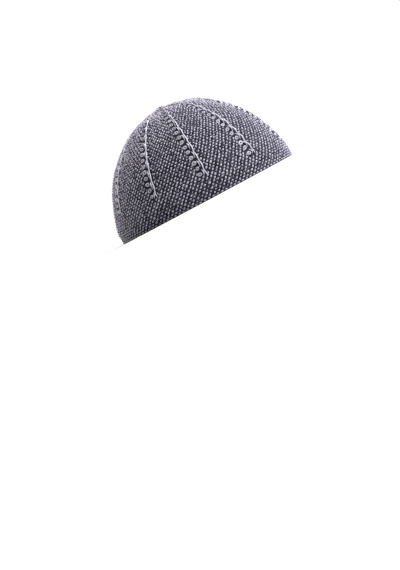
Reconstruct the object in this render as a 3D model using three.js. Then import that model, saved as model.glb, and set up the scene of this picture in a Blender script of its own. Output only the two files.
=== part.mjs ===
// Knitted skull cap with raised cable ribs, open at the rim and hollow.
// Millimetres, +Z up. The origin is under the middle of the rim, +X is the front of the cap.
import * as THREE from 'three';

// The knitted crown, measured outside.
const CAP_LENGTH = 200;
const CAP_WIDTH = 163;
const CAP_HEIGHT = 108.5;
const BACK_FULLNESS = 0.03; // share by which the back half is wider than a plain oval
const WALL = 3;
const RIM_ROUND = 0.5; // how far the two corners of the knitted edge are rounded

// The cable ribs: each has a column of loops on its left and a twisted cord on its right.
const RIB_COUNT = 10;
const FIRST_RIB_ANGLE = 4.6; // degrees from the middle of the -Y side towards the front
const RIB_WIDTH = 9.6;
const RIB_TIP_WIDTH = 4.4;
const RIB_TIP_SPACING = 3; // bare knit left between two ribs where they end round the centre
const RIB_FOOT_BACK = 29; // height of a rib's lower end at the back of the cap
const RIB_FOOT_FRONT = 17; // and at the front
const RIB_PROUD = 1.1; // how far its crests stand out of the knit where it is widest
const SEAT_DEPTH = 1; // how far the knit is drawn in under a rib
const SEAT_LIP = 0.5; // width of the slope from the knit down into that seat
const LOOP_PITCH = 6.4; // from one loop of the column to the next
const GAP = 0.3; // clearance between a rib and the knit round it

const KNIT_COLOUR = 0x67646f;
const CORD_COLOUR = 0xaaa6b2;
const YARN_ROUGHNESS = 0.95;

// Sections of the crown from the rim to the centre, as shares of half the cap's length,
// half its width, and its height.
const CROWN_SECTIONS = [
  { length: 0.995, width: 0.995, rise: 0 },
  { length: 1, width: 1, rise: 0.094 },
  { length: 0.977, width: 0.982, rise: 0.19 },
  { length: 0.943, width: 0.956, rise: 0.285 },
  { length: 0.866, width: 0.896, rise: 0.456 },
  { length: 0.75, width: 0.795, rise: 0.622 },
  { length: 0.599, width: 0.65, rise: 0.762 },
  { length: 0.425, width: 0.475, rise: 0.88 },
  { length: 0.325, width: 0.366, rise: 0.92 },
  { length: 0.217, width: 0.246, rise: 0.947 },
  { length: 0.111, width: 0.128, rise: 0.974 },
  { length: 0, width: 0, rise: 1 },
];

// The outer side of a rib's section, from its right edge to its left one. side is a share of
// half the rib's width, crest and rest are shares of its full rise where the yarn comes up and
// where it dips, loops counts the loops of the column from one crest to the next, and late
// says by what share of that way the crests come later.
const RIB_SECTION = [
  { side: 1, crest: 0, rest: -0.2, loops: 2, late: 0.5 },
  { side: 0.72, crest: 1, rest: 0.3, loops: 2, late: 0.5 },
  { side: 0.34, crest: 1, rest: 0.3, loops: 2, late: 0 },
  { side: -0.04, crest: -0.15, rest: -0.15, loops: 1, late: 0 },
  { side: -0.56, crest: 1, rest: 0.1, loops: 1, late: 0 },
  { side: -1, crest: 0.1, rest: -0.2, loops: 1, late: 0 },
];

// How finely the solids are faceted.
const COLUMNS_BETWEEN_RIBS = 3;
const ROWS_BELOW_RIBS = 3;
const ROWS_ALONG_RIBS = 11;
const INNER_ROWS = 12;
const STATIONS_PER_LOOP = 2;
const SAMPLES = 24; // steps for measuring a curve

const profile = new THREE.CatmullRomCurve3(
  CROWN_SECTIONS.map(
    ({ length, width, rise }) =>
      new THREE.Vector3((length * CAP_LENGTH) / 2, (width * CAP_WIDTH) / 2, rise * CAP_HEIGHT),
  ),
  false,
  'centripetal',
);

// A point of the outer surface. turn is the angle from the -Y side towards +X, and share says
// how far the point lies along the way from the rim, 0, to the centre of the crown, 1.
function surfacePoint(turn, share) {
  const half = profile.getPointAt(THREE.MathUtils.clamp(share, 0, 1));
  const fullness = 1 - BACK_FULLNESS * Math.sin(turn);
  return new THREE.Vector3(half.x * Math.sin(turn), -half.y * fullness * Math.cos(turn), half.z);
}

const STEP = 0.002; // small step in angle or share, for slopes

function surfaceNormal(turn, share) {
  const lower = surfacePoint(turn, share - STEP);
  const upward = surfacePoint(turn, share + STEP).sub(lower);
  const around = surfacePoint(turn + STEP, share).sub(surfacePoint(turn - STEP, share));
  return around.cross(upward).normalize();
}

// The same point moved out of the surface, or into the wall where the distance is negative.
function offsetPoint(turn, share, out) {
  return surfacePoint(turn, share).addScaledVector(surfaceNormal(turn, share), out);
}

// The angle that a distance measured round the cap takes up at a point of the surface.
function turnFor(turn, share, distance) {
  const reach = surfacePoint(turn + STEP, share).distanceTo(surfacePoint(turn - STEP, share));
  return (distance * 2 * STEP) / reach;
}

// The length of the surface's curve between two shares at one angle.
function climb(turn, from, to) {
  let length = 0;
  for (let i = 0; i < SAMPLES; i += 1) {
    const low = THREE.MathUtils.lerp(from, to, i / SAMPLES);
    const high = THREE.MathUtils.lerp(from, to, (i + 1) / SAMPLES);
    length += surfacePoint(turn, low).distanceTo(surfacePoint(turn, high));
  }
  return length;
}

// The share at which a value that grows along the profile reaches a target.
function shareWhere(measure, target) {
  let low = 0;
  let high = 1;
  while (high - low > 1e-6) {
    const middle = (low + high) / 2;
    if (measure(profile.getPointAt(middle)) < target) low = middle;
    else high = middle;
  }
  return low;
}

// Joins rings of equally many points into one closed body. The two end rings are closed by
// fans of triangles round a centre point each.
function loft(rings, startCentre, endCentre) {
  const count = rings[0].length;
  const points = [...rings.flat(), startCentre, endCentre];
  const start = points.length - 2;
  const end = points.length - 1;
  const index = [];
  for (let j = 0; j < count; j += 1) {
    const next = (j + 1) % count;
    for (let i = 0; i + 1 < rings.length; i += 1) {
      const a = i * count + j;
      const b = i * count + next;
      index.push(a, a + count, b, b, a + count, b + count);
    }
    const last = (rings.length - 1) * count;
    index.push(start, j, next, end, last + next, last + j);
  }
  const geometry = new THREE.BufferGeometry().setFromPoints(points);
  geometry.setIndex(index);
  geometry.computeVertexNormals();
  return geometry;
}

function middleOf(points) {
  const sum = points.reduce((total, point) => total.add(point), new THREE.Vector3());
  return sum.divideScalar(points.length);
}

// Where the ribs stand: evenly spaced round the rim.
function ribTurns() {
  const start = THREE.MathUtils.degToRad(FIRST_RIB_ANGLE);
  const steps = RIB_COUNT * SAMPLES;
  const around = [0];
  for (let i = 0; i < steps; i += 1) {
    const here = surfacePoint(start + (2 * Math.PI * i) / steps, 0);
    const there = surfacePoint(start + (2 * Math.PI * (i + 1)) / steps, 0);
    around.push(around[i] + here.distanceTo(there));
  }
  return Array.from({ length: RIB_COUNT }, (_, k) => {
    const target = (around[steps] * k) / RIB_COUNT;
    const i = around.findIndex((length, n) => n > 0 && length > target) - 1;
    const part = (target - around[i]) / (around[i + 1] - around[i]);
    return start + (2 * Math.PI * (i + part)) / steps;
  });
}

const tipRadius = (RIB_COUNT * (RIB_TIP_WIDTH + RIB_TIP_SPACING)) / (2 * Math.PI);
const tipShare = shareWhere(({ x }) => -x, -tipRadius);

// The share at which a rib at this angle starts. The feet stand higher at the back.
function footShare(turn) {
  const front = (1 + Math.sin(turn)) / 2;
  const height = THREE.MathUtils.lerp(RIB_FOOT_BACK, RIB_FOOT_FRONT, front);
  return shareWhere(({ z }) => z, height);
}

// Half a rib's width, which narrows towards the centre as the columns of the knit do.
function ribHalfWidth(turn, share) {
  const taper = THREE.MathUtils.smoothstep(share, footShare(turn), tipShare);
  return THREE.MathUtils.lerp(RIB_WIDTH, RIB_TIP_WIDTH, taper * taper) / 2;
}

const turns = ribTurns();

// One ring of the crown's mesh. Beside and under each rib stand the four columns of its seat,
// and plain columns follow as far as the next rib.
function crownRing(shareAt, { sunk = false, out = 0, level = null } = {}) {
  return turns.flatMap((turn, k) => {
    const share = shareAt(turn);
    const ribShare = THREE.MathUtils.clamp(share, footShare(turn), tipShare);
    const half = ribHalfWidth(turn, ribShare) + GAP;
    const inner = turnFor(turn, ribShare, half);
    const outer = turnFor(turn, ribShare, half + SEAT_LIP);
    const depth = sunk ? -SEAT_DEPTH : out;
    const nextTurn = turns[k + 1] ?? turns[0] + 2 * Math.PI;
    const nextShare = THREE.MathUtils.clamp(shareAt(nextTurn), footShare(nextTurn), tipShare);
    const nextHalf = ribHalfWidth(nextTurn, nextShare) + GAP + SEAT_LIP;
    const nextOuter = nextTurn - turnFor(nextTurn, nextShare, nextHalf);
    const points = [
      offsetPoint(turn - outer, share, out),
      offsetPoint(turn - inner, share, depth),
      offsetPoint(turn + inner, share, depth),
      offsetPoint(turn + outer, share, out),
    ];
    for (let i = 1; i <= COLUMNS_BETWEEN_RIBS; i += 1) {
      const part = i / (COLUMNS_BETWEEN_RIBS + 1);
      const between = THREE.MathUtils.lerp(turn + outer, nextOuter, part);
      points.push(offsetPoint(between, shareAt(between), out));
    }
    if (level !== null) points.forEach((point) => point.setZ(level));
    return points;
  });
}

function knitCrown() {
  const lip = SEAT_LIP / profile.getLength();
  const edge = shareWhere(({ z }) => z, RIM_ROUND);
  const rings = [crownRing(() => tipShare + lip)];
  for (let i = 0; i <= ROWS_ALONG_RIBS; i += 1) {
    const down = i / ROWS_ALONG_RIBS;
    rings.push(crownRing((turn) => THREE.MathUtils.lerp(tipShare, footShare(turn), down), { sunk: true }));
  }
  for (let i = 0; i < ROWS_BELOW_RIBS; i += 1) {
    const down = i / ROWS_BELOW_RIBS;
    rings.push(crownRing((turn) => THREE.MathUtils.lerp(footShare(turn) - lip, edge, down)));
  }
  rings.push(crownRing(() => edge));
  rings.push(crownRing(() => 0, { out: -RIM_ROUND, level: 0 }));
  rings.push(crownRing(() => 0, { out: RIM_ROUND - WALL, level: 0 }));
  for (let i = 0; i <= INNER_ROWS; i += 1) {
    const share = THREE.MathUtils.lerp(edge, tipShare, i / INNER_ROWS);
    rings.push(crownRing(() => share, { out: -WALL }));
  }
  const centre = new THREE.Vector3(0, 0, CAP_HEIGHT);
  const innerCentre = new THREE.Vector3(0, 0, CAP_HEIGHT - WALL);
  return loft(rings, centre, innerCentre);
}

// A rib lies in its seat, GAP clear of the knit, with its crests standing out of the surface.
function cableRib(turn) {
  const clear = GAP / profile.getLength();
  const foot = footShare(turn) + clear;
  const tip = tipShare - clear;
  const loops = Math.round(climb(turn, foot, tip) / LOOP_PITCH);
  const stations = loops * STATIONS_PER_LOOP;
  const underside = GAP - SEAT_DEPTH;
  const rings = [];
  for (let i = 0; i <= stations; i += 1) {
    const share = THREE.MathUtils.lerp(foot, tip, i / stations);
    const half = ribHalfWidth(turn, share);
    const place = (side, out) => offsetPoint(turn + turnFor(turn, share, side * half), share, out);
    const ends = i === 0 || i === stations;
    const proud = (RIB_PROUD * 2 * half) / RIB_WIDTH;
    const outside = RIB_SECTION.map(({ side, crest, rest, loops: spacing, late }) => {
      const beat = i / (STATIONS_PER_LOOP * spacing) - late;
      const up = ends ? 0 : (1 + Math.cos(2 * Math.PI * beat)) / 2;
      return place(side, proud * THREE.MathUtils.lerp(rest, crest, up));
    });
    rings.push([...outside, place(-1, underside), place(1, underside)]);
  }
  return loft(rings, middleOf(rings[0]), middleOf(rings[stations]));
}

function addPiece(parent, name, geometry, colour) {
  const material = new THREE.MeshStandardMaterial({
    color: colour,
    roughness: YARN_ROUGHNESS,
    metalness: 0,
  });
  const mesh = new THREE.Mesh(geometry, material);
  mesh.name = name;
  parent.add(mesh);
}

const group = new THREE.Group();
addPiece(group, 'knit_crown', knitCrown(), KNIT_COLOUR);
turns.forEach((turn, k) => {
  addPiece(group, `cable_rib_${String(k + 1).padStart(2, '0')}`, cableRib(turn), CORD_COLOUR);
});

export default group;
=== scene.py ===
import math

import bmesh
import bpy
import numpy as np
from mathutils import Matrix, Vector


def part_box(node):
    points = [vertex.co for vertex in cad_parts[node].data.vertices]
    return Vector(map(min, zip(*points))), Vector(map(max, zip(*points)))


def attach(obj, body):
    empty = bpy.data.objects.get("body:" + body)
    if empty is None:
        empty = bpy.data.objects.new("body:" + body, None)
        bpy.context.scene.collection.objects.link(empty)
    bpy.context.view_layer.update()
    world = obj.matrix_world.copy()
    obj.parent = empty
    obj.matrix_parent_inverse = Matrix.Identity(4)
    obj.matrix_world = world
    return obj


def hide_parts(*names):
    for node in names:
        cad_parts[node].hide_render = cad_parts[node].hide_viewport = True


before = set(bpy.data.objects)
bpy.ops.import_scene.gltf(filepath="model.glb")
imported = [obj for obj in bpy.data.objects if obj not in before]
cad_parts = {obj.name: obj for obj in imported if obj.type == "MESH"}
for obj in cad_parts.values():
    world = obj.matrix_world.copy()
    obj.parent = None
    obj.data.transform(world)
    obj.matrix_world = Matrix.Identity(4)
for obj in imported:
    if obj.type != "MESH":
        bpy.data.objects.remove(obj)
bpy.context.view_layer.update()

# Camera and light.
# The cap is seen straight from its right side, with the camera just above the floor and rolled
# so that the rim climbs towards the front. The light is a white studio, brightest overhead, with
# a soft key from above the front of the cap and a weaker light from behind its back.
MM = 0.001
PICTURE_SIZE = np.array([400, 570])
PIXEL_SIZE = 1.041 * MM
RIM_MIDDLE_PIXEL = np.array([207.7, 199.5])
CAMERA_DISTANCE = 1.3
CAMERA_HEIGHT = 12 * MM
CAMERA_ROLL = math.radians(28.09)
SENSOR = 36.0
ROOM_LIGHT = 0.36
ROOM_LIGHT_GROWTH = (0.46, 0.6, 0.95)  # towards the front, the far side and overhead
FLOOR_RADIUS = 4
FLOOR_GREY = 0.42

long_side = PICTURE_SIZE.max() * PIXEL_SIZE
camera_data = bpy.data.cameras.new("photo_camera")
camera_data.sensor_width = SENSOR
camera_data.lens = SENSOR * CAMERA_DISTANCE / long_side
camera_data.clip_start = 0.01
camera = bpy.data.objects.new("photo_camera", camera_data)
bpy.context.collection.objects.link(camera)
camera.location = (0, -CAMERA_DISTANCE, CAMERA_HEIGHT)
# In the rolled picture, the rim's middle lies off the centre by this much, in metres.
off_x, off_y = (RIM_MIDDLE_PIXEL - PICTURE_SIZE / 2) * PIXEL_SIZE
roll = Matrix.Rotation(-CAMERA_ROLL, 3, "Z")
off = roll @ Vector((off_x, -off_y, 0))
aim = Vector((-off.x, CAMERA_DISTANCE, -off.y - CAMERA_HEIGHT)).normalized()
upright = aim.to_track_quat("-Z", "Y").to_matrix()
camera.rotation_euler = (upright @ roll).to_euler()
bpy.context.scene.camera = camera
bpy.context.scene.view_settings.view_transform = "Standard"


def math_node(tree, operation, *inputs):
    """The output of a Math node, each of whose inputs is a number or another node's output."""
    node = tree.nodes.new("ShaderNodeMath")
    node.operation = operation
    for socket, value in zip(node.inputs, inputs):
        if isinstance(value, (int, float)):
            socket.default_value = value
        else:
            tree.links.new(value, socket)
    return node.outputs["Value"]


def studio_world(light, growth):
    """A white backdrop, whose light on things grows along each axis by as much as growth says."""
    world = bpy.data.worlds.new("white_studio")
    world.use_nodes = True
    tree = world.node_tree
    nodes, links = tree.nodes, tree.links
    direction = nodes.new("ShaderNodeTexCoord")
    slope = nodes.new("ShaderNodeVectorMath")
    slope.operation = "DOT_PRODUCT"
    links.new(direction.outputs["Generated"], slope.inputs[0])
    slope.inputs[1].default_value = growth
    strength = math_node(tree, "ADD", slope.outputs["Value"], light)
    not_below_zero = math_node(tree, "MAXIMUM", strength, 0.0)
    ray = nodes.new("ShaderNodeLightPath")
    backdrop = nodes.new("ShaderNodeMix")
    links.new(ray.outputs["Is Camera Ray"], backdrop.inputs["Factor"])
    links.new(not_below_zero, backdrop.inputs["A"])
    backdrop.inputs["B"].default_value = 1.0
    background = nodes["Background"]
    background.inputs["Color"].default_value = (1, 1, 1, 1)
    links.new(backdrop.outputs["Result"], background.inputs["Strength"])
    return world


def soft_light(name, come_from, spread, energy, colour):
    """A far, wide light, which shines the same on every side of the cap that faces it."""
    light = bpy.data.lights.new(name, "SUN")
    light.color = colour
    light.angle = math.radians(spread)
    light.energy = energy
    lamp = bpy.data.objects.new(name, light)
    lamp.rotation_euler = (-Vector(come_from)).to_track_quat("-Z", "Y").to_euler()
    bpy.context.collection.objects.link(lamp)


bpy.context.scene.world = studio_world(ROOM_LIGHT, ROOM_LIGHT_GROWTH)
soft_light("soft_key", come_from=(0.72, 0.1, 0.72), spread=55, energy=9.2, colour=(0.97, 0.975, 1.0))
soft_light("edge_light", come_from=(-0.8, 0.58, 0.12), spread=35, energy=3.9, colour=(1.0, 0.97, 0.88))

pale_floor = bpy.data.materials.new("pale_floor")
pale_floor.use_nodes = True
floor_shader = pale_floor.node_tree.nodes["Principled BSDF"]
floor_shader.inputs["Base Color"].default_value = (FLOOR_GREY, FLOOR_GREY, FLOOR_GREY, 1)
floor_shader.inputs["Roughness"].default_value = 0.9
bpy.ops.object.select_all(action="DESELECT")
bpy.ops.mesh.primitive_circle_add(vertices=64, radius=FLOOR_RADIUS, fill_type="NGON")
floor = bpy.context.object
floor.name = "floor"
floor.data.materials.append(pale_floor)


# The knitted wall.
# The cap is one piece of machine knitting in a dark and a pale yarn. This is its dark ground,
# which shows between the stitches, and its inside, where the backs of the stitches stand up.
CROWN_SECTIONS = np.array([  # from rim to centre: shares of half length, half width and height
    (0.995, 0.995, 0), (1, 1, 0.094), (0.977, 0.982, 0.19), (0.943, 0.956, 0.285),
    (0.866, 0.896, 0.456), (0.75, 0.795, 0.622), (0.599, 0.65, 0.762), (0.425, 0.475, 0.88),
    (0.325, 0.366, 0.92), (0.217, 0.246, 0.947), (0.111, 0.128, 0.974), (0, 0, 1),
])
BACK_FULLNESS = 0.03  # the back is this much wider than an ellipse, and the front narrower
WALL = 3 * MM
GROUND_DEPTH = 1.25 * MM  # from the outside of the cap in to the dark ground
RIM_LIFT = 0.3 * MM  # the wall ends this far above the table, and the knitted edge covers it
RIB_COUNT = 10
FIRST_RIB_ANGLE = math.radians(4.6)
RIB_ANGLE_SAMPLES = 3601
COLUMNS = 24  # stitches in a row from one rib to the next
COURSES = 62  # rows of stitches from the rim to the centre
COURSE_GROWTH = 1.3  # how many times as tall as the first row the last one is
GROUND_RINGS = 32
PURL_HEIGHT = 0.45 * MM
PURL_FADE = 0.25  # the last part of the climb, in which the backs of the stitches flatten out
PURL_TONE = 0.8
ANGLE_STEP = 0.002
YARN_PLIES = 3
PLY_PITCH = 1.7 * MM
PLY_RELIEF = 0.4  # how deep the grooves between the plies are, beside the fibres
YARN_RELIEF = 0.15 * MM
FIBRE_SCALE = 1800
MOTTLE = 0.12
DARK_YARN = (0.008, 0.0073, 0.018)
PALE_YARN = (0.45, 0.424, 0.508)

lowest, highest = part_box("knit_crown")
cap_half_length = (highest[0] - lowest[0]) / 2
cap_half_width = (highest[1] - lowest[1]) / 2
cap_height = highest[2]


def smooth_curve(rows, steps=40):
    """Points of a centripetal curve through the rows."""
    rows = np.vstack([2 * rows[0] - rows[1], rows, 2 * rows[-1] - rows[-2]])
    t = np.linspace(0, 1, steps, endpoint=False)[:, None]
    curve = []
    for before, start, end, after in zip(rows, rows[1:], rows[2:], rows[3:]):
        a = np.linalg.norm(start - before) ** 0.5
        b = np.linalg.norm(end - start) ** 0.5
        c = np.linalg.norm(after - end) ** 0.5
        leave = b * ((start - before) / a - (end - before) / (a + b) + (end - start) / b)
        reach = b * ((end - start) / b - (after - start) / (b + c) + (after - end) / c)
        curve.append(
            (2 * t**3 - 3 * t**2 + 1) * start + (t**3 - 2 * t**2 + t) * leave
            + (3 * t**2 - 2 * t**3) * end + (t**3 - t**2) * reach
        )
    return np.vstack([*curve, rows[-2:-1]])


profile = smooth_curve(CROWN_SECTIONS * (cap_half_length, cap_half_width, cap_height))
profile_run = np.concatenate([[0], np.cumsum(np.linalg.norm(np.diff(profile, axis=0), axis=1))])
profile_share = profile_run / profile_run[-1]


def surface(turn, share):
    """Points of the cap's outside: turn from the right side to the front, share from rim to centre."""
    length, width, height = (np.interp(share, profile_share, column) for column in profile.T)
    fullness = 1 - BACK_FULLNESS * np.sin(turn)
    return np.stack([length * np.sin(turn), -width * fullness * np.cos(turn), height], axis=-1)


def slopes(turn, share):
    """How far a point moves for each radian of turn and for each share of the climb."""
    share = np.minimum(share, 1 - 2 * ANGLE_STEP)
    around = surface(turn + ANGLE_STEP, share) - surface(turn - ANGLE_STEP, share)
    upward = surface(turn, share + ANGLE_STEP) - surface(turn, np.maximum(share - ANGLE_STEP, 0))
    run = share + ANGLE_STEP - np.maximum(share - ANGLE_STEP, 0)
    return around / (2 * ANGLE_STEP), upward / run[..., None]


def on_cap(turn, share, out):
    """Points moved out of the surface, or into it where out is negative."""
    turn, share, out = np.broadcast_arrays(turn, share, out)
    around, upward = slopes(turn, share)
    normal = np.cross(around, upward)
    normal /= np.linalg.norm(normal, axis=-1, keepdims=True)
    return surface(turn, share) + normal * out[..., None]


def rib_angles():
    """The angles of the ribs, which stand evenly round the rim, and the first one's a turn on."""
    turn = FIRST_RIB_ANGLE + np.linspace(0, 2 * np.pi, RIB_ANGLE_SAMPLES)
    steps = np.linalg.norm(np.diff(surface(turn, np.zeros(RIB_ANGLE_SAMPLES)), axis=0), axis=1)
    run = np.concatenate([[0], np.cumsum(steps)])
    return np.interp(np.arange(RIB_COUNT + 1) * run[-1] / RIB_COUNT, run, turn)


rib_turns = rib_angles()


def knit_turn(ribs_on):
    """The angle that is so many ribs on from the first one, whole or in part."""
    whole_turns = ribs_on // RIB_COUNT
    return np.interp(ribs_on % RIB_COUNT, np.arange(RIB_COUNT + 1), rib_turns) + 2 * np.pi * whole_turns


def course_share(course):
    """The rows lie closer together at the rim than on the crown."""
    return (COURSE_GROWTH ** (course / COURSES) - 1) / (COURSE_GROWTH - 1)


def model_points(model):
    """The vertices of a piece, one in each row."""
    points = np.empty(len(model.data.vertices) * 3)
    model.data.vertices.foreach_get("co", points)
    return points.reshape(-1, 3)


def yarn_attribute(mesh, values):
    """How pale the yarn is painted at each point, from 0 for the dark yarn to 1 for the pale one, with
    painted light and shade in it on sunk stitches, the crown and the cords.
    """
    mesh.attributes.new("pale", "FLOAT", "POINT").data.foreach_set("value", np.ravel(values))


def knit_wall():
    """A sphere shaped into the wall: its upper rings are the outside, its lower ones the inside."""
    segments = RIB_COUNT * COLUMNS
    purl_rings = 2 * COURSES
    rings = GROUND_RINGS + purl_rings
    bpy.ops.object.select_all(action="DESELECT")
    bpy.ops.mesh.primitive_uv_sphere_add(segments=segments, ring_count=rings)
    wall = bpy.context.object
    wall.name = wall.data.name = "knit_wall"
    x, y, z = model_points(wall).T
    ring = np.rint(np.arccos(np.clip(z, -1, 1)) / np.pi * rings)
    spoke = np.rint((np.arctan2(y, x) + np.pi / 2) / (2 * np.pi) * segments) % segments
    inside = ring > GROUND_RINGS
    up = np.where(inside, (ring - GROUND_RINGS - 1) / (purl_rings - 1), 1 - ring / GROUND_RINGS)
    # On the inside every second ring stands up as a row of purl bumps.
    course = (ring - GROUND_RINGS) // 2
    purl = inside & (ring % 2 == 0) & (ring < rings - 2)
    purl_height = PURL_HEIGHT * np.clip((1 - up) / PURL_FADE, 0, 1)
    out = np.where(inside, -WALL, -GROUND_DEPTH) - np.where(purl, purl_height, 0)
    placed = on_cap(knit_turn((spoke + 0.5) / COLUMNS), up, out)
    placed[(ring == 0) | (ring == rings), :2] = 0
    placed[(ring == GROUND_RINGS) | (ring == GROUND_RINGS + 1), 2] = RIM_LIFT
    mesh = wall.data
    mesh.vertices.foreach_set("co", placed.ravel())
    yarn_attribute(mesh, np.where(purl & ((spoke + course) % 2 == 0), PURL_TONE, 0.0))
    mesh.uv_layers[0].name = "yarn"
    mesh.polygons.foreach_set("use_smooth", np.ones(len(mesh.polygons), dtype=bool))
    mesh.update()
    return wall


def yarn_material(name, pale_colour):
    """Soft spun yarn: the colour of each stitch, mottled fibres, and twisted plies in relief."""
    material = bpy.data.materials.new(name)
    material.use_nodes = True
    tree = material.node_tree
    nodes, links = tree.nodes, tree.links
    shader = nodes["Principled BSDF"]
    shader.inputs["Roughness"].default_value = 0.9
    shader.inputs["Specular IOR Level"].default_value = 0.2
    shader.inputs["Sheen Weight"].default_value = 0.12
    shader.inputs["Sheen Roughness"].default_value = 0.5
    shader.inputs["Sheen Tint"].default_value = (0.9, 0.9, 1.0, 1)

    place = nodes.new("ShaderNodeTexCoord")
    fibres = nodes.new("ShaderNodeTexNoise")
    fibres.inputs["Scale"].default_value = FIBRE_SCALE
    fibres.inputs["Detail"].default_value = 3
    links.new(place.outputs["Object"], fibres.inputs["Vector"])
    mottle = nodes.new("ShaderNodeMapRange")
    mottle.inputs["From Min"].default_value = 0.3
    mottle.inputs["From Max"].default_value = 0.7
    mottle.inputs["To Min"].default_value = -MOTTLE
    mottle.inputs["To Max"].default_value = MOTTLE
    links.new(fibres.outputs["Fac"], mottle.inputs["Value"])
    paleness = nodes.new("ShaderNodeAttribute")
    paleness.attribute_name = "pale"
    tone = math_node(tree, "ADD", paleness.outputs["Fac"], mottle.outputs["Result"])
    colours = nodes.new("ShaderNodeValToRGB")
    dark_end, pale_end = colours.color_ramp.elements
    dark_end.color = (*DARK_YARN, 1)
    dark_end.position = 0.05
    pale_end.color = (*pale_colour, 1)
    pale_end.position = 1.0
    links.new(tone, colours.inputs["Fac"])
    links.new(colours.outputs["Color"], shader.inputs["Base Color"])

    yarn = nodes.new("ShaderNodeUVMap")
    yarn.uv_map = "yarn"
    parts = nodes.new("ShaderNodeSeparateXYZ")
    links.new(yarn.outputs["UV"], parts.inputs["Vector"])
    twist = math_node(tree, "MULTIPLY_ADD", parts.outputs["Y"], 1 / PLY_PITCH, parts.outputs["X"])
    plies = math_node(tree, "MULTIPLY", twist, 2 * math.pi * YARN_PLIES)
    ridges = math_node(tree, "SINE", plies)
    relief = math_node(tree, "MULTIPLY_ADD", ridges, PLY_RELIEF, fibres.outputs["Fac"])
    bump = nodes.new("ShaderNodeBump")
    bump.inputs["Strength"].default_value = 0.6
    bump.inputs["Distance"].default_value = YARN_RELIEF
    links.new(relief, bump.inputs["Height"])
    links.new(bump.outputs["Normal"], shader.inputs["Normal"])
    return material


knit_yarn = yarn_material("two_tone_yarn", PALE_YARN)
wall = knit_wall()
wall.data.materials.append(knit_yarn)
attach(wall, "root")
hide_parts("knit_crown")


# The stitches.
# Pale and dark stitches take turns along each row and up each column. Each shows on the outside
# as a short slanting stroke of yarn that dips into the fabric at both ends.
STITCH_LENGTH = 2.9 * MM
STITCH_WIDTH = 1.75 * MM
STITCH_HEIGHT = 1.3 * MM
STITCH_DIP = 0.5 * MM  # how deep both ends of a stitch go in
STITCH_CURL = 0.15 * MM  # how far its ends turn away to either side
STITCH_TAPER = 0.25  # how much narrower it is at its ends
STITCH_LEAN = math.radians(35)
PLAIN_COLUMN = 2.4 * MM  # the spacing of the columns at which a stitch keeps its own width
PLAIN_COURSE = 2.7 * MM  # and that of the rows at which it keeps its own height
NARROWEST_COLUMN = 1.9 * MM
COURSE_MIDDLE = 0.45  # where in its row a stitch lies
SIDE_GAP = 0.3  # how much of a column is left free beside the line of a rib

PALE_SIZE = 1.03
DARK_SIZE = 0.9
PALE_DEPTH = 0.8 * MM
DARK_DEPTH = 1.05 * MM
PALE_TONE = 0.9
DARK_TONE = 0.11
WEAK_PART = 0.12  # this part of the stitches lies deeper, and the pale ones of them are painted darker, as painted shade for their sunk place
SUNK_PAINTED_SHADE = (0.4, 0.8)
WEAK_DEPTH = 0.4 * MM

# Knitting is never quite even, and least so beside a cord and on the crown.
LEAN_UNEVENNESS = math.radians(11)
SIZE_UNEVENNESS = 0.09
TONE_UNEVENNESS = 0.08
DEPTH_WANDER = 0.07 * MM
STITCH_WANDER = 0.19 * MM
LOOSE_LEAN = 3.5  # how much more a quite loose stitch leans out of line
LOOSE_WANDER = 2.5  # and how much farther it lies from its place
LOOSE_REACH = 6 * MM  # beside a cord the stitches are looser, as far away as this
CROWN_LOOSENESS = 0.45
CROWN_FROM = 0.4
CROWN_SPAN = 0.3
CROWN_PALE_YARN_AND_LIGHT = 0.13  # on the crown the dark stitches are painted paler: partly painted light for the stronger light from above, and partly more of the pale yarn showing between them
GATHER_RADIUS = 4.6 * MM

# The stitches leave room for the ribs.
RIB_WIDTH = 9.6 * MM
RIB_TIP_WIDTH = 4.4 * MM
RIB_TIP_SPACING = 3 * MM
RIB_FOOT_BACK = 29 * MM
RIB_FOOT_FRONT = 17 * MM
CORD_REACH = 0.86  # how much of its half width a rib takes up on the cord's side
LOOP_REACH = 1.0  # and on the loops' side


def share_at(radius):
    """How far up the crown a place is that lies this far from the centre, on the front or back."""
    return np.interp(-radius, -profile[2:, 0], profile_share[2:])


random = np.random.default_rng(11)
tip_radius = RIB_COUNT * (RIB_TIP_WIDTH + RIB_TIP_SPACING) / (2 * math.pi)
tip_share = share_at(tip_radius)


def foot_share(turn):
    """Where a rib's lower end is: higher at the back of the cap than at the front."""
    height = RIB_FOOT_BACK + (RIB_FOOT_FRONT - RIB_FOOT_BACK) * (1 + np.sin(turn)) / 2
    return np.interp(height, profile[:, 2], profile_share)


def rib_half_width(turn, share):
    """Ribs narrow towards the centre as the columns of the knit do."""
    foot = foot_share(turn)
    part = np.clip((share - foot) / (tip_share - foot), 0, 1)
    taper = (part * part * (3 - 2 * part)) ** 2
    return (RIB_WIDTH + (RIB_TIP_WIDTH - RIB_WIDTH) * taper) / 2


def lay_yarn(model, around, along, length):
    """Gives a model's yarn coordinates: once round the yarn, and metres along it."""
    uv = model.data.uv_layers[0].data
    corners = np.empty(len(uv) * 2)
    uv.foreach_get("uv", corners)
    corners = corners.reshape(-1, 2)
    uv.foreach_set("uv", np.stack([corners[:, around], corners[:, along] * length], axis=-1).ravel())


def stitch_model():
    """One stroke of yarn along x."""
    size = (STITCH_LENGTH, STITCH_WIDTH, STITCH_HEIGHT)
    bpy.ops.object.select_all(action="DESELECT")
    bpy.ops.mesh.primitive_uv_sphere_add(segments=6, ring_count=5, radius=0.5)
    stitch = bpy.context.object
    bpy.ops.object.mode_set(mode="EDIT")
    bpy.ops.mesh.select_all(action="SELECT")
    bpy.ops.transform.rotate(value=math.pi / 2, orient_axis="Y", center_override=(0, 0, 0))
    bpy.ops.transform.resize(value=size, center_override=(0, 0, 0))
    bpy.ops.object.mode_set(mode="OBJECT")
    lay_yarn(stitch, around=0, along=1, length=STITCH_LENGTH)
    return stitch


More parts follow.
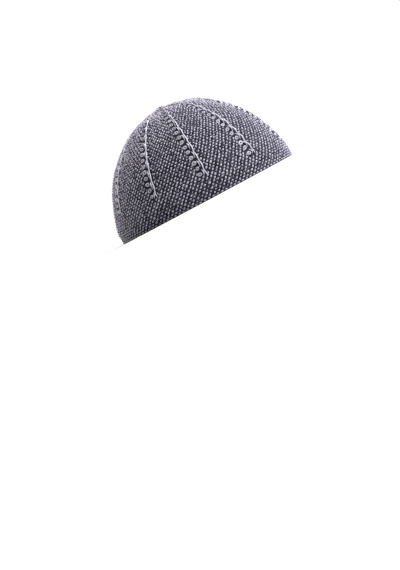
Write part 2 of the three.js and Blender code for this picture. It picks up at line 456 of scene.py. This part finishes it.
def join_copies(name, model, points, pale):
    """One mesh of many copies of a model: points holds each copy's vertices, pale its yarn."""
    source = model.data
    count, size, _ = points.shape
    corners = np.empty(len(source.loops), dtype=np.int32)
    source.loops.foreach_get("vertex_index", corners)
    totals = np.empty(len(source.polygons), dtype=np.int32)
    source.polygons.foreach_get("loop_total", totals)
    uv = np.empty(len(source.loops) * 2)
    source.uv_layers[0].data.foreach_get("uv", uv)
    mesh = bpy.data.meshes.new(name)
    mesh.vertices.add(count * size)
    mesh.vertices.foreach_set("co", points.ravel())
    all_corners = (corners[None] + size * np.arange(count)[:, None]).ravel()
    all_totals = np.tile(totals, count)
    mesh.loops.add(len(all_corners))
    mesh.loops.foreach_set("vertex_index", all_corners)
    mesh.polygons.add(len(all_totals))
    mesh.polygons.foreach_set("loop_start", np.concatenate([[0], np.cumsum(all_totals)[:-1]]))
    mesh.polygons.foreach_set("use_smooth", np.ones(len(all_totals), dtype=bool))
    mesh.uv_layers.new(name="yarn").data.foreach_set("uv", np.tile(uv, count))
    mesh.update(calc_edges=True)
    yarn_attribute(mesh, np.broadcast_to(pale, (count, size)))
    piece = bpy.data.objects.new(name, mesh)
    bpy.context.collection.objects.link(piece)
    return piece


def lay_on_cap(flat, turn, share, out):
    """Wraps flat copies, x across and y up and z out, onto the cap round the places given."""
    around, upward = slopes(turn, share)
    wide = np.linalg.norm(around, axis=-1)
    tall = np.linalg.norm(upward, axis=-1)
    return on_cap(
        turn[:, None] + flat[..., 0] / wide[:, None],
        np.clip(share[:, None] + flat[..., 1] / tall[:, None], 0, 1),
        out[:, None] + flat[..., 2],
    )


def crown_part(share):
    """How far up the crown a place lies: 0 where the side begins to round over, then up to 1."""
    return np.clip((share - CROWN_FROM) / CROWN_SPAN, 0, 1)


def gore_stitches(gore):
    """The stitches between two ribs: their places, and how pale, wide, tall and loose they are."""
    first, last = rib_turns[gore], rib_turns[gore + 1]
    middle = (first + last) / 2
    column = np.arange(-COLUMNS // 2, COLUMNS // 2)
    rows = []
    for course in range(1, COURSES):
        share = course_share(course + COURSE_MIDDLE)
        around, upward = (np.linalg.norm(slope) for slope in slopes(np.array(middle), np.array(share)))
        if around < GATHER_RADIUS:
            break
        pitch = max(around * (last - first) / COLUMNS, NARROWEST_COLUMN)
        turn = middle + (column + 0.5) * pitch / around
        low = first + SIDE_GAP * pitch / around
        high = last - SIDE_GAP * pitch / around
        loose = np.full(COLUMNS, CROWN_LOOSENESS * crown_part(share))
        if foot_share(first) < share < tip_share:
            low = first + CORD_REACH * rib_half_width(first, share) / around
            loose = np.maximum(loose, 1 - (turn - low) * around / LOOSE_REACH)
        if foot_share(last) < share < tip_share:
            high = last - LOOP_REACH * rib_half_width(last, share) / around
        pale = (column + course) % 2
        tall = upward * (course_share(course + 1) - course_share(course))
        row = np.stack(np.broadcast_arrays(turn, share, pale, pitch, tall, loose))
        rows.append(row[:, (turn > low) & (turn < high)])
    return np.hstack(rows)


def place_stitches(model, turn, share, pale, wide, tall, loose):
    """Leaning, slightly uneven copies of the stitch, and how pale each one is painted, painted shade and
    light included.
    """
    count = len(turn)
    is_pale = pale > 0
    points = model_points(model)
    weak = np.where(random.random(count) < WEAK_PART, random.uniform(*SUNK_PAINTED_SHADE, count), 1.0)
    stray = random.normal(0, LEAN_UNEVENNESS, count) * (1 + LOOSE_LEAN * loose)
    lean = (STITCH_LEAN + stray)[:, None]
    size = random.normal(1, SIZE_UNEVENNESS, (count, 1)) * np.where(is_pale, PALE_SIZE, DARK_SIZE)[:, None]
    x, y, z = (points[None, :, axis] * size for axis in range(3))
    reach = 2 * points[None, :, 0] / STITCH_LENGTH
    y = y * (1 - STITCH_TAPER * reach ** 2) + STITCH_CURL * reach * np.abs(reach)
    z = z - STITCH_DIP * reach ** 2
    flat = np.stack([
        (x * np.cos(lean) - y * np.sin(lean)) * (wide / PLAIN_COLUMN)[:, None],
        (x * np.sin(lean) + y * np.cos(lean)) * (tall / PLAIN_COURSE)[:, None],
        z,
    ], axis=-1)
    wander = random.normal(0, STITCH_WANDER, (count, 1, 2))
    flat[..., :2] += wander * (1 + LOOSE_WANDER * loose)[:, None, None]
    out = -np.where(is_pale, PALE_DEPTH, DARK_DEPTH) + random.normal(0, DEPTH_WANDER, count)
    out -= (1 - weak) * WEAK_DEPTH
    # Pale stitches that lie deeper are painted darker here: painted shade.
    pale_tone = random.normal(PALE_TONE, TONE_UNEVENNESS, count) * weak
    # Dark stitches are painted paler up the crown, partly as painted light from above.
    dark_middle = DARK_TONE + CROWN_PALE_YARN_AND_LIGHT * crown_part(share)
    dark_tone = random.normal(dark_middle, TONE_UNEVENNESS, count)
    tone = np.where(is_pale, pale_tone, dark_tone)
    return lay_on_cap(flat, turn, share, out), tone[:, None]


stitch = stitch_model()
for gore in range(RIB_COUNT):
    points, pale = place_stitches(stitch, *gore_stitches(gore))
    panel = join_copies(f"knit_panel_{gore + 1:02}", stitch, points, pale)
    panel.data.materials.append(knit_yarn)
    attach(panel, "root")
    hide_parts("knit_crown")


# The knitted edge.
# The first row of the knitting is a chain of loops that lie over the edge of the wall, pale and
# dark in turn like the rows above it.
EDGE_LENGTH = 3.2 * MM
EDGE_HEIGHT = 2.5 * MM
EDGE_ACROSS = WALL + 0.3 * MM
EDGE_LEAN = math.radians(20)
EDGE_LEAN_UNEVENNESS = math.radians(6)
EDGE_SLIP = 0.4  # how much of the lean moves the top of a loop along the rim
EDGE_CLIMB = 0.5  # and how much of it lifts the loop's end
EDGE_LOWEST = 0.02 * MM
EDGE_COURSE = 0.5
PALE_EDGE_TONE = 0.8
DARK_EDGE_TONE = 0.1
EDGE_TONE_UNEVENNESS = 0.06

edge_number = np.arange(RIB_COUNT * COLUMNS)
edge_count = len(edge_number)
edge_points = model_points(stitch) / (STITCH_LENGTH, STITCH_WIDTH, STITCH_HEIGHT)
edge_lean = random.normal(EDGE_LEAN, EDGE_LEAN_UNEVENNESS, (edge_count, 1))
edge_x, edge_y, edge_z = (edge_points * (EDGE_LENGTH, EDGE_HEIGHT, EDGE_ACROSS)).T
edge_flat = np.stack([
    edge_x * np.cos(edge_lean) - edge_y * np.sin(edge_lean) * EDGE_SLIP,
    edge_x * np.sin(edge_lean) * EDGE_CLIMB + edge_y * np.cos(edge_lean),
    np.tile(edge_z, (edge_count, 1)),
], axis=-1)
edge_turn = knit_turn((edge_number + 0.5) / COLUMNS)
edge_share = np.full(edge_count, course_share(EDGE_COURSE))
edge_places = lay_on_cap(edge_flat, edge_turn, edge_share, np.full(edge_count, -EDGE_ACROSS / 2))
edge_places[..., 2] = np.maximum(edge_places[..., 2], EDGE_LOWEST)
edge_tone = np.where(edge_number % 2 > 0, PALE_EDGE_TONE, DARK_EDGE_TONE)
edge_tone = edge_tone + random.normal(0, EDGE_TONE_UNEVENNESS, edge_count)
edge = join_copies("rim_chain", stitch, edge_places, edge_tone[:, None])
edge.data.materials.append(knit_yarn)
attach(edge, "root")
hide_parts("knit_crown")


# The gathered centre.
# At the top of the cap the last stitches of the knitting, pale and dark in turn, are drawn
# together round one point.
GATHER_STROKES = 12
GATHER_MIDDLE = 0.55  # how far out in the gathered ring the middle of a stroke lies
GATHER_SIZE = (-1.0, 1.25, 1.2)  # across, to the centre and out; the minus keeps faces outwards
GATHER_DEPTH = 0.9 * MM
PALE_GATHER_TONE = 0.85
DARK_GATHER_TONE = 0.1

gather_number = np.arange(GATHER_STROKES)
gather_turn = gather_number * 2 * math.pi / GATHER_STROKES
gather_share = np.full(GATHER_STROKES, share_at(GATHER_MIDDLE * GATHER_RADIUS))
gather_flat = np.tile(model_points(stitch)[:, [1, 0, 2]] * GATHER_SIZE, (GATHER_STROKES, 1, 1))
gather_out = np.full(GATHER_STROKES, -GATHER_DEPTH)
gather_places = lay_on_cap(gather_flat, gather_turn, gather_share, gather_out)
gather_tone = np.where(gather_number % 2 > 0, PALE_GATHER_TONE, DARK_GATHER_TONE)
gather = join_copies("crown_gather", stitch, gather_places, gather_tone[:, None])
gather.data.materials.append(knit_yarn)
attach(gather, "root")
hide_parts("knit_crown")
bpy.data.objects.remove(stitch)


# The cable ribs.
# Each rib is worked into the knit: on its left a column of puffy loops, and on its right a pale
# cord of two strands. The long strand runs from the foot to the tip, and the short one comes out
# of the fabric beside it and slips under again and again. At both ends they go into the fabric.
LOOP_PITCH = 6.4 * MM
LOOP_RING = 1.5 * MM
LOOP_YARN = 0.86 * MM
LOOP_SIZE = (1.08, 0.78, 0.8)  # how wide, tall and thick a loop is beside a round ring
LOOP_SIDE = -0.55  # where the loops lie across the rib, as a part of its half width
LOOP_DEPTH = 0.55 * MM
LOOP_SPIN = 0.15
LOOP_TILT = 0.3
LOOP_TONE = 0.74
LOOP_FADE = 0.4  # how much paler the lowest loops are than the highest
LOOP_SPIN_UNEVENNESS = 0.25
LOOP_SIZE_UNEVENNESS = 0.06
LOOP_TILT_UNEVENNESS = 0.1
LOOP_TONE_UNEVENNESS = 0.09
LOOP_WANDER = 0.2 * MM

CORD_SIDE = 0.66  # where the long strand lies across the rib, as a part of its half width
STRAND_RADIUS = 0.6 * MM
STRAND_SIDES = 8
STRAND_RINGS = 130
STRAND_YARN = 260 * MM  # more yarn than a rib is long, so that the plies look tightly twisted
LONG_LIFT = 0.1 * MM
SHORT_APART = 2 * MM  # how far beside the long strand the short one lies
SHORT_FORK = 1.6 * MM  # and how much farther at the foot, where the strands part
FORK_LENGTH = 6 * MM
SHORT_DEPTH = 0.95 * MM
SHORT_DIVE = 1.5 * MM  # how far the short strand rises and dives round that depth
DEEPEST_DIVE = 2 * MM
CABLE_PITCH = 11 * MM
CABLE_SWING = 0.3 * MM
CABLE_DRIFT = 0.45  # how far, in radians, the twist runs ahead of or behind an even one
DRIFT_LENGTH = 12 * MM
DRIFT_FROM = 9 * MM
STRAND_SWAY = 0.18 * MM
SWAY_LENGTH = 2.9 * MM
END_LENGTH = 3 * MM
END_THICKNESS = 0.5
END_DEPTH = 1.4 * MM
# The short strand is painted darker than the long one: painted shade beside it.
LONG_TONE = 0.9
SHORT_TONE = 0.8
CABLE_PAINTED_SHADE = 0.14  # how much paler a strand is painted where it comes up than where it goes down: painted light and shade
CORD_FADE = 0.3  # how much paler the cord's foot is than its tip
PALE_CORD = (0.58, 0.553, 0.625)
RUN_SAMPLES = 200


def loop_model():
    """One ring of yarn that lies flat."""
    bpy.ops.object.select_all(action="DESELECT")
    bpy.ops.mesh.primitive_torus_add(
        major_segments=14, minor_segments=6, major_radius=LOOP_RING, minor_radius=LOOP_YARN
    )
    lay_yarn(bpy.context.object, around=1, along=0, length=2 * math.pi * LOOP_RING)
    return bpy.context.object


def strand_model():
    """A round bar of radius 1 and height 1 that stands on the origin, with rings all along."""
    bpy.ops.object.select_all(action="DESELECT")
    bpy.ops.mesh.primitive_cylinder_add(
        vertices=STRAND_SIDES, radius=1, depth=1, end_fill_type="TRIFAN", location=(0, 0, 0.5)
    )
    strand = bpy.context.object
    bpy.ops.object.transform_apply(location=True)
    bpy.ops.object.mode_set(mode="EDIT")
    bpy.ops.mesh.select_all(action="DESELECT")
    edit = bmesh.from_edit_mesh(strand.data)
    for side in edit.edges:
        side.select = abs(side.verts[0].co.z - side.verts[1].co.z) > 0.5
    bmesh.update_edit_mesh(strand.data)
    bpy.ops.mesh.subdivide(number_cuts=STRAND_RINGS)
    bpy.ops.object.mode_set(mode="OBJECT")
    lay_yarn(strand, around=0, along=1, length=STRAND_YARN)
    return strand


def rib_run(turn):
    """Shares from a rib's foot to its tip, and how far along the rib each of them is."""
    shares = np.linspace(foot_share(turn), tip_share, RUN_SAMPLES)
    steps = np.linalg.norm(np.diff(surface(turn, shares), axis=0), axis=1)
    return shares, np.concatenate([[0], np.cumsum(steps)])


def place_loops(model, turn, shares, runs):
    """The loops of one rib, which shrink towards its tip, and how pale each one is."""
    length = runs[-1]
    count = round(length / LOOP_PITCH)
    up = (np.arange(count) + 0.5) / count
    share = np.interp(up * length, runs, shares)
    half = rib_half_width(turn, share)
    narrow = (half / (RIB_WIDTH / 2))[:, None]
    spin = random.normal(LOOP_SPIN, LOOP_SPIN_UNEVENNESS, (count, 1))
    size = random.normal(1, LOOP_SIZE_UNEVENNESS, (count, 1)) * narrow
    tilt = random.normal(LOOP_TILT, LOOP_TILT_UNEVENNESS, (count, 1))
    x, y, z = (points[None] * size for points in (model_points(model) * LOOP_SIZE).T)
    x, y = x * np.cos(spin) - y * np.sin(spin), x * np.sin(spin) + y * np.cos(spin)
    flat = np.stack([x + (LOOP_SIDE * half)[:, None], y, z + tilt * y - LOOP_DEPTH], axis=-1)
    flat[..., :2] += random.normal(0, LOOP_WANDER, (count, 1, 2))
    places = lay_on_cap(flat, np.full(count, turn), share, np.zeros(count))
    tone = random.normal(LOOP_TONE, LOOP_TONE_UNEVENNESS, count) - LOOP_FADE * up ** 2
    return places, tone[:, None]


def place_strands(model, turn, shares, runs):
    """The long and the short strand of one rib, and how pale each is painted all along, with painted shade
    where a strand goes down.
    """
    length = runs[-1]
    # A strand is laid down with its y outwards, and its x is mirrored to keep its faces outwards.
    across, out, up = (model_points(model) * (-1, 1, 1)).T
    run = up * length
    share = np.interp(run, runs, shares)
    narrow = rib_half_width(turn, share) / (RIB_WIDTH / 2)
    around = np.linalg.norm(slopes(turn, share)[0], axis=-1)
    waver = random.uniform(0, 2 * math.pi)
    drift = CABLE_DRIFT * np.sin(run / DRIFT_LENGTH + waver) * np.clip(run / DRIFT_FROM, 0, 1)
    angle = 2 * math.pi * run / CABLE_PITCH + drift
    inner = np.clip(np.minimum(run, length - run) / END_LENGTH, 0, 1)
    fork = SHORT_FORK * np.clip(1 - run / FORK_LENGTH, 0, 1) ** 2
    sway = STRAND_SWAY * np.sin(run / SWAY_LENGTH + 2 * waver) * inner
    radius = STRAND_RADIUS * (END_THICKNESS + (1 - END_THICKNESS) * inner)
    long_x = CABLE_SWING * np.cos(angle) + sway + radius * across
    long_z = CABLE_SWING * np.cos(angle) + LONG_LIFT + radius * out
    dive = np.maximum(SHORT_DIVE * np.sin(angle) - SHORT_DEPTH, -DEEPEST_DIVE)
    short_x = CABLE_SWING * np.sin(angle) - SHORT_APART - fork + radius * across
    short_z = dive + STRAND_RADIUS * out
    x = (CORD_SIDE * RIB_WIDTH / 2 + np.stack([long_x, short_x])) * narrow
    z = np.stack([long_z, short_z]) * narrow - END_DEPTH * (1 - inner) ** 2
    # Painted light and shade along the strands: paler where they come up, darker where they go down.
    swing = np.cos(angle)
    tone = np.stack([LONG_TONE + CABLE_PAINTED_SHADE * swing, SHORT_TONE - CABLE_PAINTED_SHADE * swing])
    return on_cap(turn + x / around, share, z), tone - CORD_FADE * up ** 3


cord_yarn = yarn_material("pale_cord_yarn", PALE_CORD)
loop = loop_model()
strand = strand_model()
for rib in range(RIB_COUNT):
    turn = rib_turns[rib]
    shares, runs = rib_run(turn)
    points, pale = place_loops(loop, turn, shares, runs)
    loop_piece = join_copies(f"rib_loops_{rib + 1:02}", loop, points, pale)
    points, pale = place_strands(strand, turn, shares, runs)
    cord_piece = join_copies(f"rib_cord_{rib + 1:02}", strand, points, pale)
    for piece in (loop_piece, cord_piece):
        piece.data.materials.append(cord_yarn)
        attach(piece, "root")
        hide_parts(f"cable_rib_{rib + 1:02}")
bpy.data.objects.remove(loop)
bpy.data.objects.remove(strand)
